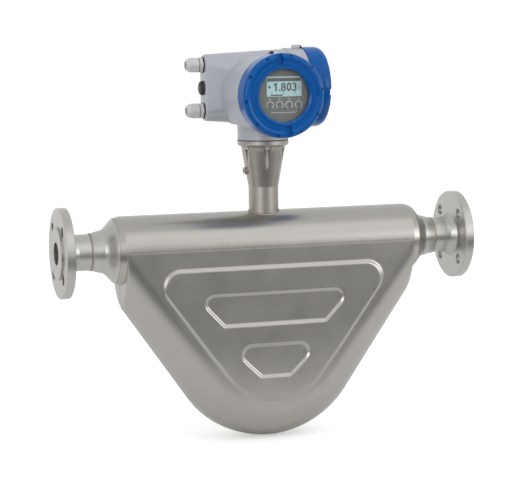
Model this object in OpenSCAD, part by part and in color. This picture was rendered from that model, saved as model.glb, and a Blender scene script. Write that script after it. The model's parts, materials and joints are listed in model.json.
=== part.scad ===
// Coriolis mass flow meter: flanged line, two measuring tubes in a pressed case, converter on a stem.
// Origin at the centre of the inlet sealing face, +X along the flow, +Z up, +Y to the back.
// All sizes in millimetres and degrees.

/* [Show] */
// Sub-part to draw, or all of them

/* [Line] */
// Distance between the two sealing faces
face_to_face = 716; // [706:1:730]
// Radius of the line bore
line_bore_radius = 19; // [17:0.5:20]
// Outside radius of the flange rim
flange_radius = 75; // [72:0.5:78]
// Thickness of the flange rim
flange_thickness = 15; // [13:0.5:17]
// Radius of the raised sealing face
face_radius = 44; // [42:0.5:46]
// Height of the raised sealing face
face_height = 3; // [2:0.5:4]
// Radius of the bolt circle
bolt_circle_radius = 55; // [54:0.5:57]
// Radius of a bolt hole
bolt_hole_radius = 9; // [8:0.5:10]
// Radius of the hub behind the rim
hub_radius = 37; // [35:0.5:39]
// Radius of the welding neck
neck_radius = 30.2; // [29:0.2:31]
// Distance of the neck weld from the middle
neck_end = 302; // [300:0.5:304]

/* [Housing tube] */
// Outside radius of the housing tube
tube_radius = 57.15; // [56.5:0.05:57.4]
// Wall of the housing tube
tube_wall = 4; // [3:0.5:5]
// Half length of the straight housing tube
tube_half = 252; // [250:0.5:254]
// Length of the bevelled end ring
end_ring_length = 10; // [8:0.5:12]
// Radius at the thin end of the end ring
end_ring_radius = 54.5; // [54:0.1:55.5]
// Half width of the slot under the tube
slot_half_width = 42; // [40:0.5:44]
// Half length of the slot under the tube
slot_half_length = 225; // [220:1:230]

/* [Manifold] */
// Small radius of the flare
flare_radius = 35.2; // [34:0.2:36]
// Distance of the flare's thin end from the middle
flare_start = 286; // [284:0.5:288]
// Distance of the flare's full radius from the middle
flare_end = 255; // [253:0.5:257]
// Width of the groove between manifold and end ring
joint_groove = 1; // [0.5:0.1:2]
// Distance of the manifold's inner face from the middle
manifold_face = 241; // [240.8:0.1:242]
// Depth of the sockets for the measuring tubes
socket_depth = 7; // [6.5:0.1:8]

/* [Measuring tubes] */
// Distance of each measuring tube from the middle plane
tube_offset = 24; // [23:0.2:25]
// Outside radius of a measuring tube
measuring_radius = 13.45; // [12.5:0.05:14]
// Wall of a measuring tube
measuring_wall = 1.65; // [1.2:0.05:2.2]
// Radius of the upper bends
bend_radius = 45; // [40:1:48]
// Distance of the bend corner from the middle
bend_corner = 214; // [208:1:216]
// Radius of the bottom arc
bottom_radius = 95; // [88:1:100]
// Depth of the bottom arc's centre
bottom_depth = 165; // [160:1:170]

/* [Case] */
// Half depth of the case
case_half_depth = 58; // [57.6:0.1:60]
// Thickness of the pressed sheet
case_wall = 3; // [2:0.25:3.5]
// Slope of the case's two long sides
case_slope = 55.2; // [54:0.2:57]
// Radius of the case's mid line at the bottom
case_bottom_radius = 112; // [108:1:114]
// Depth of the bottom radius' centre
case_bottom_depth = 158.5; // [156:0.5:162]
// Height of the pressed steps
pressed_height = 3; // [2:0.25:3.5]
// Width of the sloped edge around a pressed step
pressed_slope = 8; // [6:0.5:9]
// Corner radius of the raised pad
pad_corner = 28; // [26:0.5:30]
// Distance of the pad's corner centres from the middle
pad_half_width = 162.5; // [158:0.5:164]
// Depth of the pad's corner centres
pad_depth = 60; // [58:0.5:62]
// Radius of the pad's bottom end
pad_bottom_radius = 100; // [97:0.5:101]

/* [Stem] */
// Radius of the stem's pipe
stem_radius = 25.1; // [24.5:0.1:26]
// Height where the stem begins to widen
stem_flare_bottom = 98; // [92:1:104]
// Height where the stem is widest
stem_flare_top = 158; // [154:1:160]
// Radius at the top of the widening
stem_flare_radius = 35.8; // [35:0.1:37]
// Radius of the stem's top ring
stem_ring_radius = 43.1; // [42:0.1:44]
// Height of the top of the stem
stem_top = 175.3; // [174.5:0.1:175.3]
// Thickness of the stem's top ring
stem_ring_thickness = 8.4; // [7.6:0.1:8.8]
// Radius of the screw circle
stem_screw_circle = 34; // [33.5:0.1:34.5]
// Radius of the flute over each screw
flute_radius = 3.5; // [3:0.1:4]

/* [Converter] */
// Height of the converter's foot
converter_foot = 176.3; // [176.3:0.1:177]
// Height of the front cover's axis
front_axis = 254; // [253.5:0.1:254.5]
// Height of the side cover's axis
side_axis = 263; // [262.5:0.1:263.5]
// Distance of the cable wall from the stem's axis
cable_wall = 103; // [101:0.5:105]
// Height of the cable wall's middle
cable_wall_height = 265.5; // [264.5:0.5:266.5]
// Half depth of the cable wall
cable_wall_radius = 19; // [18:0.5:20]
// Half height of the cable wall's straight sides
cable_wall_straight = 36.25; // [35.5:0.25:37]
// Distance of the front rim from the stem's axis
front_rim = 83.5; // [82.5:0.5:84.5]
// Radius of the front rim
front_rim_radius = 67.5; // [66.5:0.5:68]
// Distance of the side rim from the stem's axis
side_rim = 66.7; // [66:0.1:67.4]
// Radius of the side rim
side_rim_radius = 66; // [65:0.5:66.5]
// Radius of the foot
foot_radius = 42.7; // [42:0.1:44]
// Radius of the collar over the foot
collar_radius = 55.6; // [54.5:0.1:56.5]

/* [Covers] */
// Outside radius of the front cover
front_cover_radius = 69.2; // [68.4:0.1:70]
// Outside radius of the side cover
side_cover_radius = 67.3; // [66.8:0.1:68]
// Outside radius of a cover's threaded skirt
skirt_radius = 58.5; // [58:0.1:58.6]
// Length of a cover's threaded skirt
skirt_length = 14; // [12:0.5:14]
// Gap between a cover and its rim
cover_gap = 0.3; // [0.3:0.05:0.5]
// Number of pockets on a cover's crest
pocket_count = 10; // [8:1:12]
// Radius of the window opening
window_radius = 43.3; // [42:0.1:44]
// Thickness of the window glass
glass_thickness = 8; // [7:0.25:8]

/* [Display] */
// Width of the liquid-crystal panel
lcd_width = 59.6; // [57:0.2:60]
// Height of the liquid-crystal panel
lcd_height = 31; // [29:0.5:32]
// Height of the panel's middle
lcd_middle = 267.8; // [267:0.2:269]
// Height of the row of optical keys
key_height = 238.6; // [238:0.2:240]
// Distance between two optical keys
key_pitch = 16.3; // [15.5:0.1:17]
// Radius of an optical key
key_radius = 6.3; // [5.5:0.1:6.8]

/* [Cable entries] */
// Height of the upper cable gland
upper_gland = 303.3; // [302.5:0.1:304]
// Height of the lower cable gland
lower_gland = 227.5; // [226.5:0.1:229]
// Height of the blanking plug
plug_height = 265; // [264:0.5:266]
// Width across flats of a gland
gland_flats = 24; // [23:0.5:25]
// Radius of a cable entry's thread
entry_radius = 10; // [9.5:0.1:10.2]
// Radius of a gland's cable hole
cable_radius = 6.3; // [5.5:0.1:6.5]

/* [Hidden] */
$fn = 96;

steel = "#b4b1ab";
bright_steel = "#c9cacb";
casting = "#b9bcc4";
blue = "#0a4f9a";
black = "#1d1e20";
light_plastic = "#c3c6c6";
rubber = "#26272a";
brass = "#c8a24c";
copper = "#b06a3a";
board_green = "#1f5b3a";

half_length = face_to_face / 2;
rim_end = half_length - face_height;
rim_start = rim_end - flange_thickness;
hub_start = rim_start - 15;
edge_break = 1;

tube_inner = tube_radius - tube_wall;
ring_end = tube_half + end_ring_length;
shoulder = ring_end + joint_groove;
spigot_radius = tube_inner - 0.05;
flare_length = flare_start - flare_end;
splitter = flare_start - 1;
channel_radius = measuring_radius - measuring_wall;
socket_bottom = manifold_face + socket_depth;
channel_slope = 0.4;
channel_turn = atan(channel_slope);
channel_low = socket_bottom - 5.5;
channel_high = splitter + 7;

tube_corner_span = norm([bend_corner, bottom_depth]);
tube_slope = atan(bottom_depth / bend_corner) + asin(bottom_radius / tube_corner_span);
bend_tangent = bend_radius * tan(tube_slope / 2);
bend_start = bend_corner + bend_tangent;
arc_end_x = bottom_radius * sin(tube_slope);
arc_end_z = -bottom_depth - bottom_radius * cos(tube_slope);
bend_end_x = bend_corner - bend_tangent * cos(tube_slope);
bend_end_z = -bend_tangent * sin(tube_slope);
straight_run = norm([bend_end_x - arc_end_x, bend_end_z - arc_end_z]);
brace_place = 62;
pickup_place = 155;
sensor_place = 100;
tube_clearance = 0.05;
brace_width = 34;
brace_thickness = 5;
brace_depth = 2 * (tube_offset + measuring_radius) + 4.1;
bracket_near = 8;
bracket_thickness = 6;
bracket_width = 18;
bracket_reach = 30;
bracket_inner = 3;
coil_place = 21;

case_inner_depth = case_half_depth - case_wall;
case_rise = case_bottom_depth + 60;
case_side_length = case_rise / sin(case_slope) + 60;
case_box = 400;
lap_height = 25;
case_overlap = 105;
bend_overlap = 6;
lap_clearance = 0.15;
pressed_rate = pressed_slope / pressed_height;
upper_sink = [[105.7, -90, 14], [-105.7, -90, 14], [86.5, -122, 6], [-86.5, -122, 6]];
lower_sink = [[41.8, -179.5, 16], [-41.8, -179.5, 16], [22.6, -210, 7], [-22.6, -210, 7]];
pad_outline = [
  [pad_half_width, -pad_depth, pad_corner],
  [-pad_half_width, -pad_depth, pad_corner],
  [0, -case_bottom_depth, pad_bottom_radius]];

stem_ring_bottom = stem_top - stem_ring_thickness;
stem_bore = 15;
stem_lower_bore = 12;
feedthrough_seat = 146;
feedthrough_height = 8;
boss_height = 125;
screw_head_radius = 4.5;
screw_pocket_radius = 5.2;
screw_pocket_height = 8.6;
screw_turn = 24;
screw_head_height = 6;
screw_radius = 3;
screw_reach = 12;
hex_key = 5;

boss_back = 19;
boss_back_middle = [-21, 255];
boss_back_radius = 60.5;
side_hull_end = 42;
side_hull_radius = 64.5;
collar_start = 38;
dome_back = 50;
dome_radius = 62;
dome_height = 262;
mouth_radius = skirt_radius + 0.6;
front_floor = 16;
front_cavity_radius = 52;
front_mouth_floor = front_rim - skirt_length - 1.8;
side_mouth_floor = side_rim - skirt_length - 1.8;
partition = 8;
terminal_radius = 55;
cable_wall_thickness = 8;
duct_radius = cable_wall_radius - 6;
foot_top = 215;
collar_bottom = 204;
collar_top = 219;
wire_way = 26.6;
wire_way_turn = screw_turn - 90;
wire_way_radius = 8;
foot_chamber_radius = 25;
foot_chamber_top = 190;
lug_radius = 4.4;
lug_length = 12;
lock_head_radius = 3.5;
lock_head_height = 4;
lock_seat = lock_head_height + 0.3;
lock_radius = 2;
lock_length = 8;
lock_side = -9;
front_lug_height = front_axis + front_rim_radius + 0.7;
side_lug_height = side_axis + side_rim_radius + 0.7;

front_cover_rim = front_rim + cover_gap;
front_crest = 120;
front_shoulder = 111;
front_crest_radius = 62;
window_seat = 113;
glass_radius = 50;
glass_back = window_seat - glass_thickness;
window_ring_back = glass_back - 4;
window_ring_outer = 51.4;
window_ring_inner = 44;
lip_radius = 46.5;
side_cover_rim = side_rim + cover_gap;
side_crest = 101.5;
side_shoulder = 89;
side_crest_radius = 60;
skirt_inner = 52;
seal_radius = 57.6;
seal_thickness = 1;
seal_groove = 56.2;
seal_groove_width = 3;
seal_place = 3.5;
pocket_radius = 2.2;
pocket_depth = 4.5;
pocket_turn = 7.5;
pocket_setting = 3.5;
spanner_width = 10.6;
spanner_depth = 6;
spanner_turn = 7;

module_face = 75;
module_radius = 48;
board_face = module_face + 2;
board_radius = 46.5;
bezel_face = window_ring_back - 0.5;
bezel_plate = 3;
bezel_radius = 49.5;
bezel_inner = 47.6;
display_shift = 5.6;
lcd_face = bezel_face - 0.6;
lcd_flange = 3;
lcd_margin = 0.8;
key_depth = 1.2;
key_disc = 1;

terminal_board_thickness = 2;
board_left = 20;
board_right = 46;
board_half_height = 38;
terminal_count = 8;
terminal_pitch = 7.6;
terminal_middle = 263;
block_left = 20;
block_right = 44;
block_depth = 20;
block_half_height = 33;

gland_hex = gland_flats / sqrt(3);
washer_height = 2.2;
gland_collar = 7.4;
gland_body_top = 18.6;
gland_thread = 9;
insert_radius = 7.6;
insert_bottom = 10.6;
insert_top = gland_body_top + 1;
clamp_bottom = insert_top + 0.3;
clamp_top = clamp_bottom + 4.7;
nut_bottom = gland_collar + 2.2;
nut_hex_top = 20;
nut_top = 30;
nut_bore = gland_thread + 0.4;
nut_shoulder = clamp_bottom + 2.6;
nut_lip = 3.9;
nut_tip_radius = 8.4;
nut_flat = 0.9;
plug_cap_radius = 12;
plug_cap_height = 7;

// Places what is modelled around the middle of the line in the row's frame.
module placed() translate([half_length, 0, 0]) children();

// Turns local +Z along the line: side 1 to the outlet, side -1 to the inlet.
module toward(side) rotate([0, side * 90, 0]) children();

// Turns local +Z to the front, at a height.
module facing_front(height) translate([0, 0, height]) rotate([90, 0, 0]) children();

// Turns local +Z to the right, at a height.
module facing_right(height) translate([0, 0, height]) rotate([0, 90, 0]) children();

// Turns local +Z to the left, at a height.
module facing_left(height) translate([0, 0, height]) rotate([0, -90, 0]) children();

// Mirrors to the inlet side when side is -1.
module sided(side) mirror([side < 0 ? 1 : 0, 0, 0]) children();

// Cylinder with a hole through it, from bottom to top.
module ring(outer, inner, bottom, top) {
  difference() {
    translate([0, 0, bottom]) cylinder(h = top - bottom, r = outer);
    translate([0, 0, bottom - 1]) cylinder(h = top - bottom + 2, r = inner);
  }
}

// Cylinder from bottom to top.
module disc(radius, bottom, top) {
  translate([0, 0, bottom]) cylinder(h = top - bottom, r = radius);
}

// Weld-neck flange around the line's axis.
module weld_neck_flange() {
  difference() {
    rotate_extrude() polygon([
      [line_bore_radius, neck_end],
      [neck_radius, neck_end],
      [neck_radius, hub_start],
      [neck_radius + 1.2, hub_start + 6],
      [hub_radius - 2.4, rim_start - 3],
      [hub_radius, rim_start],
      [flange_radius - edge_break, rim_start],
      [flange_radius, rim_start + edge_break],
      [flange_radius, rim_end - edge_break],
      [flange_radius - edge_break, rim_end],
      [face_radius, rim_end],
      [face_radius, half_length],
      [line_bore_radius, half_length]]);
    for (turn = [45, 135, 225, 315]) {
      rotate([0, 0, turn]) translate([bolt_circle_radius, 0, rim_start - 1])
        cylinder(h = flange_thickness + 2, r = bolt_hole_radius);
    }
  }
}

module inlet_flange() color(bright_steel) placed() toward(-1) weld_neck_flange();

module outlet_flange() color(bright_steel) placed() toward(1) weld_neck_flange();

// Radius of the flare at a share of its length, 0 at the thin end.
function flare_at(share) = flare_radius + (tube_radius - flare_radius) * (1 - cos(180 * share)) / 2;

// End piece that splits the line's bore into the two measuring tubes.
module flow_manifold() {
  last_share = (flare_start - shoulder) / flare_length;
  difference() {
    rotate_extrude() polygon(concat(
      [[0, manifold_face], [spigot_radius, manifold_face], [spigot_radius, shoulder]],
      [for (step = [10:-1:0]) let(share = last_share * step / 10)
        [flare_at(share), flare_start - share * flare_length]],
      [[neck_radius + 0.6, neck_end], [0, neck_end]]));
    disc(line_bore_radius, splitter, neck_end + 1);
    for (side = [-1, 1]) {
      translate([0, side * tube_offset, manifold_face - 1])
        cylinder(h = socket_depth + 1, r = measuring_radius + tube_clearance);
      translate([0, side * (tube_offset + (socket_bottom - channel_low) * channel_slope), channel_low])
        rotate([side * channel_turn, 0, 0])
          cylinder(h = (channel_high - channel_low) / cos(channel_turn), r = channel_radius);
    }
  }
}

module inlet_manifold() color(bright_steel) placed() toward(-1) flow_manifold();

module outlet_manifold() color(bright_steel) placed() toward(1) flow_manifold();

module housing_tube() {
  color(steel) placed() difference() {
    toward(1) rotate_extrude() polygon([
      [tube_inner, -ring_end],
      [end_ring_radius, -ring_end],
      [tube_radius, -tube_half],
      [tube_radius, tube_half],
      [end_ring_radius, ring_end],
      [tube_inner, ring_end]]);
    translate([-slot_half_length, -slot_half_width, -tube_radius - 2])
      cube([2 * slot_half_length, 2 * slot_half_width, 40]);
    cylinder(h = 80, r = stem_lower_bore);
  }
}

// Cross-section of the case along its mid line, out from the bottom centre.
module case_section(depth, inwards) {
  translate([-inwards, -depth]) square([case_bottom_radius + inwards, 2 * depth]);
  translate([case_bottom_radius, 0]) circle(r = depth);
}

// Local frame of each long side: +Z up along it, +X out of the case, origin at the bottom bend's centre.
module on_case_sides() {
  for (side = [-1, 1]) {
    sided(side) translate([0, 0, -case_bottom_depth]) rotate([0, 90 - case_slope, 0]) children();
  }
}

// The case's two long sides, each wide enough to meet the other in the middle.
module case_sides(depth) {
  on_case_sides() linear_extrude(height = case_side_length) case_section(depth, case_overlap);
}

// Rounded solid of the case with the given half depth: the two sides and the bottom bend, in two halves.
module case_form(depth) {
  case_sides(depth);
  on_case_sides() rotate([-90, 0, 0]) rotate_extrude(angle = case_slope + bend_overlap)
    case_section(depth, 0);
}

// Sloped step over an outline of corner circles, growing outwards from the given depth.
module pressed_step(outline, depth, sink) {
  back = sink ? 0 : 1;
  front = sink ? pressed_height + 1 : pressed_height;
  grow = sink ? 1 : -1;
  translate([0, -depth + back, 0]) rotate([90, 0, 0]) hull() {
    for (corner = outline) {
      translate([corner[0], corner[1], 0]) cylinder(
        h = front + back,
        r1 = corner[2] - grow * (pressed_slope / 2 + back * pressed_rate),
        r2 = corner[2] - grow * (pressed_slope / 2 - front * pressed_rate),
        $fn = corner[2] > 50 ? 64 : 32);
    }
  }
}

// Raised pad with its two sunk panels, on a face at the given depth.
module pressed_pad(depth) {
  difference() {
    pressed_step(pad_outline, depth, false);
    pressed_step(upper_sink, depth, true);
    pressed_step(lower_sink, depth, true);
  }
}

// Box in front of the middle plane, from below up to a height.
module front_room(half_width, bottom, top) {
  translate([-half_width, -case_half_depth - 20, bottom])
    cube([2 * half_width, case_half_depth + 20 + (top > 0 ? 1 : 0), top - bottom]);
}

// One pressed half-shell, at the front, with a thinned edge that laps over the housing tube.
module case_shell() {
  difference() {
    union() {
      intersection() {
        case_form(case_half_depth);
        front_room(tube_half, -case_box, 0);
      }
      pressed_pad(case_half_depth);
    }
    intersection() {
      case_form(case_inner_depth);
      front_room(tube_half - case_wall, -case_box, 1);
    }
    intersection() {
      case_sides(tube_radius + lap_clearance);
      front_room(tube_half - case_wall, -lap_height, 1);
    }
    pressed_pad(case_inner_depth);
    for (side = [-1, 1]) {
      toward(side) disc(tube_radius, tube_half - case_wall - 1, tube_half + 1);
    }
  }
}

module front_case_shell() color(steel) placed() case_shell();

module rear_case_shell() color(steel) placed() mirror([0, 1, 0]) case_shell();

// Hollow cross-section of a measuring tube.
module tube_section() {
  difference() {
    circle(r = measuring_radius);
    circle(r = channel_radius);
  }
}

// Orbital weld bead over a joint, around local +Z.
module tube_bead() ring(measuring_radius + 0.2, channel_radius - 0.1, -1.4, 1.4);

// Straight piece of a measuring tube that ends just inside a bead at either end.
module tube_straight(length) translate([0, 0, 0.4]) linear_extrude(height = length - 0.8) tube_section();

// One bent measuring tube in the middle plane: straight and bent pieces joined by weld beads.
module measuring_tube() {
  for (side = [-1, 1]) {
    sided(side) {
      translate([bend_start, 0, 0]) rotate([0, 90, 0]) {
        tube_straight(socket_bottom - bend_start + 0.4);
        tube_bead();
      }
      translate([bend_start, 0, -bend_radius]) rotate([90, 0, 0]) rotate([0, 0, 90])
        rotate_extrude(angle = tube_slope) translate([bend_radius, 0]) tube_section();
      translate([arc_end_x, 0, arc_end_z]) rotate([0, 90 - tube_slope, 0]) {
        tube_straight(straight_run);
        tube_bead();
        translate([0, 0, straight_run]) tube_bead();
      }
    }
  }
  translate([0, 0, -bottom_depth]) rotate([90, 0, 0]) rotate([0, 0, -90 - tube_slope])
    rotate_extrude(angle = 2 * tube_slope) translate([bottom_radius, 0]) tube_section();
}

module front_measuring_tube() color(bright_steel) placed() translate([0, -tube_offset, 0]) measuring_tube();

module rear_measuring_tube() color(bright_steel) placed() translate([0, tube_offset, 0]) measuring_tube();

// Frame on a tube's straight run: local +Z up along the run, local +X to the outside of the bend.
module on_run(side, place) {
  sided(side) translate([bend_corner - place * cos(tube_slope), 0, -place * sin(tube_slope)])
    rotate([0, 90 - tube_slope, 0]) children();
}

// Frame at the bottom of the tubes: local +X down, local +Z along the tube.
module at_bottom() translate([0, 0, -bottom_depth - bottom_radius]) rotate([0, 90, 0]) children();

// Plate that ties the two measuring tubes together.
module tube_brace() {
  difference() {
    translate([-brace_width / 2, -brace_depth / 2, -brace_thickness / 2])
      cube([brace_width, brace_depth, brace_thickness]);
    for (side = [-1, 1]) {
      translate([0, side * tube_offset, -brace_thickness])
        cylinder(h = 2 * brace_thickness, r = measuring_radius + tube_clearance);
    }
  }
}

module inlet_brace() color(steel) placed() on_run(-1, brace_place) tube_brace();

module outlet_brace() color(steel) placed() on_run(1, brace_place) tube_brace();

// Flat bracket that a tube passes, from a given place on.
module tube_bracket(from) {
  translate([-bracket_reach, from, -bracket_width / 2])
    cube([bracket_reach + bracket_inner, bracket_thickness, bracket_width]);
}

// Coil on its bracket, for the front tube.
module coil_with_bracket() {
  difference() {
    tube_bracket(-bracket_near - bracket_thickness);
    translate([0, -tube_offset, -20]) cylinder(h = 40, r = measuring_radius + 0.3);
  }
  translate([-coil_place, 0, 0]) rotate([90, 0, 0]) ring(8, 5.4, 1.5, bracket_near + 1);
}

// Magnet on its bracket, for the rear tube.
module magnet_with_bracket() {
  difference() {
    tube_bracket(bracket_near);
    translate([0, tube_offset, -20]) cylinder(h = 40, r = measuring_radius + 0.3);
  }
  translate([-coil_place, 0, 0]) rotate([90, 0, 0]) disc(4, -bracket_near - 1, 5);
}

module drive_coil() color(copper) placed() at_bottom() coil_with_bracket();

module drive_magnet() color(bright_steel) placed() at_bottom() magnet_with_bracket();

module inlet_pickup_coil() color(copper) placed() on_run(-1, pickup_place) coil_with_bracket();

module outlet_pickup_coil() color(copper) placed() on_run(1, pickup_place) coil_with_bracket();

module inlet_pickup_magnet() color(bright_steel) placed() on_run(-1, pickup_place) magnet_with_bracket();

module outlet_pickup_magnet() color(bright_steel) placed() on_run(1, pickup_place) magnet_with_bracket();

module temperature_sensor() {
  color(bright_steel) placed() on_run(-1, sensor_place) translate([0, -tube_offset, 0]) difference() {
    union() {
      translate([-19, -4, -8]) cube([10, 8, 16]);
      translate([-16, 0, 8]) cylinder(h = 6, r = 1.5);
    }
    translate([0, 0, -20]) cylinder(h = 40, r = measuring_radius + tube_clearance);
  }
}

// Repeats what follows at the six stem screws.
module at_stem_screws() {
  for (turn = [0:60:300]) {
    rotate([0, 0, screw_turn + turn]) translate([stem_screw_circle, 0, 0]) children();
  }
}

module stem() {
  color(steel) placed() difference() {
    union() {
      rotate_extrude() polygon([
        [0, 40],
        [stem_radius, 40],
        [stem_radius, stem_flare_bottom],
        [stem_flare_radius, stem_flare_top],
        [stem_flare_radius + 0.6, stem_ring_bottom - 1.6],
        [stem_ring_radius - 2.2, stem_ring_bottom],
        [stem_ring_radius, stem_ring_bottom + 2.2],
        [stem_ring_radius, stem_top],
        [0, stem_top]]);
      facing_left(boss_height) disc(7, 20, 31.6);
    }
    toward(1) translate([0, 0, -60]) cylinder(h = 120, r = tube_radius);
    disc(stem_lower_bore, 30, stem_top);
    disc(stem_bore, feedthrough_seat, stem_top + 1);
    facing_left(boss_height) disc(4.1, 24, 40);
    at_stem_screws() {
      disc(flute_radius, stem_flare_bottom + 2, stem_ring_bottom);
      disc(screw_pocket_radius, stem_ring_bottom - screw_pocket_height, stem_ring_bottom);
      disc(screw_radius + 0.3, stem_ring_bottom - 1, stem_top + 1);
    }
  }
}

// Six socket-head screws, heads down in the flutes.
module stem_screws() {
  color(bright_steel) placed() at_stem_screws() difference() {
    union() {
      disc(screw_head_radius, stem_ring_bottom - screw_head_height, stem_ring_bottom);
      disc(screw_radius, stem_ring_bottom, converter_foot + screw_reach);
    }
    translate([0, 0, stem_ring_bottom - screw_head_height - 1])
      cylinder(h = 4, r = hex_key / sqrt(3), $fn = 6);
  }
}

module stem_plug() {
  color(bright_steel) placed() facing_left(boss_height) difference() {
    union() {
      disc(4, 25, 31.6);
      disc(5.5, 31.6, 34.4);
    }
    translate([0, 0, 32]) cylinder(h = 4, r = 2.9, $fn = 6);
  }
}

module stem_gasket() {
  color(rubber) placed() difference() {
    ring(stem_ring_radius - 0.4, stem_bore, stem_top, converter_foot);
    at_stem_screws() disc(screw_radius + 0.3, stem_top - 1, converter_foot + 1);
  }
}

module wire_feedthrough() {
  color(black) placed() {
    disc(stem_bore - 0.1, feedthrough_seat, feedthrough_seat + feedthrough_height);
    for (turn = [0:45:315]) {
      rotate([0, 0, turn]) translate([8, 0, feedthrough_seat - 5])
        cylinder(h = feedthrough_height + 10, r = 0.9, $fn = 24);
    }
  }
}

// Body between the cable wall, with its bevel, and the side rim.
module converter_barrel(wall, wall_radius, end, end_radius, bevel) {
  hull() {
    for (rise = [-cable_wall_straight, cable_wall_straight]) {
      translate([-wall, 0, cable_wall_height + rise]) rotate([0, 90, 0])
        cylinder(h = bevel, r1 = wall_radius - bevel, r2 = wall_radius, $fn = 48);
    }
    translate([end - 1, 0, side_axis]) rotate([0, 90, 0]) cylinder(h = 1, r = end_radius, $fn = 64);
  }
}

// Boss that carries the front cover.
module front_boss() {
  hull() {
    translate([boss_back_middle[0], -boss_back, boss_back_middle[1]]) rotate([90, 0, 0])
      cylinder(h = 1, r = boss_back_radius, $fn = 64);
    translate([0, -front_rim + 1, front_axis]) rotate([90, 0, 0])
      cylinder(h = 1, r = front_rim_radius, $fn = 64);
  }
}

// Round lug behind a rim, along its cover's locking screw.
module lock_lug(rim) disc(lug_radius, rim - lock_seat - lug_length, rim - lock_seat);

// Outer form of the converter's casting.
module converter_outside() {
  converter_barrel(cable_wall, cable_wall_radius, side_hull_end, side_hull_radius, 2.5);
  facing_right(side_axis) rotate_extrude() polygon([
    [0, collar_start],
    [side_rim_radius - 1, collar_start],
    [side_rim_radius, collar_start + 1],
    [side_rim_radius, side_rim - 0.6],
    [side_rim_radius - 0.6, side_rim],
    [0, side_rim]]);
  front_boss();
  facing_front(front_axis) disc(front_rim_radius - 1.2, 60, front_rim - 0.6);
  mirror([0, 1, 0]) facing_front(dome_height) rotate_extrude() polygon([
    [0, 0],
    [dome_radius, 0],
    [dome_radius, dome_back - 12],
    [dome_radius - 1.6, dome_back - 6],
    [dome_radius - 5.6, dome_back - 1.8],
    [dome_radius - 11, dome_back],
    [0, dome_back]]);
  rotate_extrude() polygon([
    [0, converter_foot],
    [foot_radius - 1, converter_foot],
    [foot_radius, converter_foot + 1],
    [foot_radius, collar_bottom - 4],
    [foot_radius + 3, collar_bottom],
    [collar_radius - 1, collar_bottom],
    [collar_radius, collar_bottom + 1],
    [collar_radius, collar_top],
    [0, collar_top]]);
  translate([lock_side, 0, 0]) facing_front(front_lug_height) lock_lug(front_rim);
  translate([0, lock_side, 0]) facing_right(side_lug_height) lock_lug(side_rim);
}

// Hole and head pocket of a cover's locking screw.
module lock_hole(rim) {
  disc(lock_radius + 0.05, rim - lock_seat - lock_length - 2, rim + 1);
  disc(lock_head_radius + 0.3, rim - lock_seat, rim + 1);
}

// Room inside the converter's casting.
module converter_inside() {
  intersection() {
    converter_barrel(cable_wall - cable_wall_thickness, duct_radius, side_hull_end, terminal_radius, 1);
    translate([-150, -partition, 100]) cube([300, 200, 300]);
  }
  facing_right(side_axis) {
    disc(terminal_radius, side_hull_end - 1, side_rim + 1);
    disc(mouth_radius, side_mouth_floor, side_rim + 1);
  }
  facing_front(front_axis) {
    disc(front_cavity_radius, front_floor, front_rim + 1);
    disc(mouth_radius, front_mouth_floor, front_rim + 1);
  }
  disc(foot_chamber_radius, converter_foot - 1, foot_chamber_top);
  rotate([0, 0, wire_way_turn]) translate([wire_way, 0, converter_foot + 5])
    cylinder(h = 50, r = wire_way_radius);
  at_stem_screws() disc(screw_radius + 0.05, converter_foot - 1, converter_foot + screw_reach + 2);
  for (height = [upper_gland, lower_gland, plug_height]) {
    facing_left(height) disc(entry_radius, cable_wall - 20, cable_wall + 1);
  }
}

module converter_housing() {
  color(casting) placed() difference() {
    converter_outside();
    converter_inside();
    translate([lock_side, 0, 0]) facing_front(front_lug_height) lock_hole(front_rim);
    translate([0, lock_side, 0]) facing_right(side_lug_height) lock_hole(side_rim);
  }
}

module electronics_module() {
  color(black) placed() facing_front(front_axis) {
    difference() {
      disc(module_radius, front_floor, module_face);
      disc(module_radius - 3, module_face - 4, module_face + 1);
    }
    for (turn = [45:90:315]) {
      rotate([0, 0, turn]) translate([38, 0, 0]) disc(3, front_floor + 1, module_face);
    }
  }
}

module display_board() {
  color(board_green) placed() facing_front(front_axis) {
    disc(board_radius, module_face, board_face);
    translate([-30, -18, board_face - 1]) cube([60, 10, 7]);
  }
}

// Repeats what follows at the four optical keys, around the front cover's axis.
module at_keys() {
  for (place = [-1.5:1:1.5]) {
    translate([display_shift + place * key_pitch, key_height - front_axis, 0]) children();
  }
}

module display_bezel() {
  color("#575552") placed() facing_front(front_axis) difference() {
    union() {
      disc(bezel_radius, bezel_face - bezel_plate, bezel_face);
      ring(bezel_radius, bezel_inner, module_face, bezel_face);
    }
    translate([display_shift - lcd_width / 2 - 0.2, lcd_middle - front_axis - lcd_height / 2 - 0.2,
      bezel_face - bezel_plate - 1]) cube([lcd_width + 0.4, lcd_height + 0.4, bezel_plate + 2]);
    at_keys() disc(key_radius + 0.1, bezel_face - key_depth, bezel_face + 1);
  }
}

module lcd_panel() {
  color("#b5d3cb") placed() facing_front(front_axis) translate([display_shift, lcd_middle - front_axis, 0]) {
    translate([-lcd_width / 2, -lcd_height / 2, bezel_face - bezel_plate - 0.5])
      cube([lcd_width, lcd_height, lcd_face - bezel_face + bezel_plate + 0.5]);
    translate([-lcd_width / 2 - lcd_margin, -lcd_height / 2 - lcd_margin,
      bezel_face - bezel_plate - lcd_flange])
      cube([lcd_width + 2 * lcd_margin, lcd_height + 2 * lcd_margin, lcd_flange]);
  }
}

module optical_keys() {
  color("#4a4846") placed() facing_front(front_axis) at_keys()
    disc(key_radius, bezel_face - key_depth, bezel_face - key_depth + key_disc);
}

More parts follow.
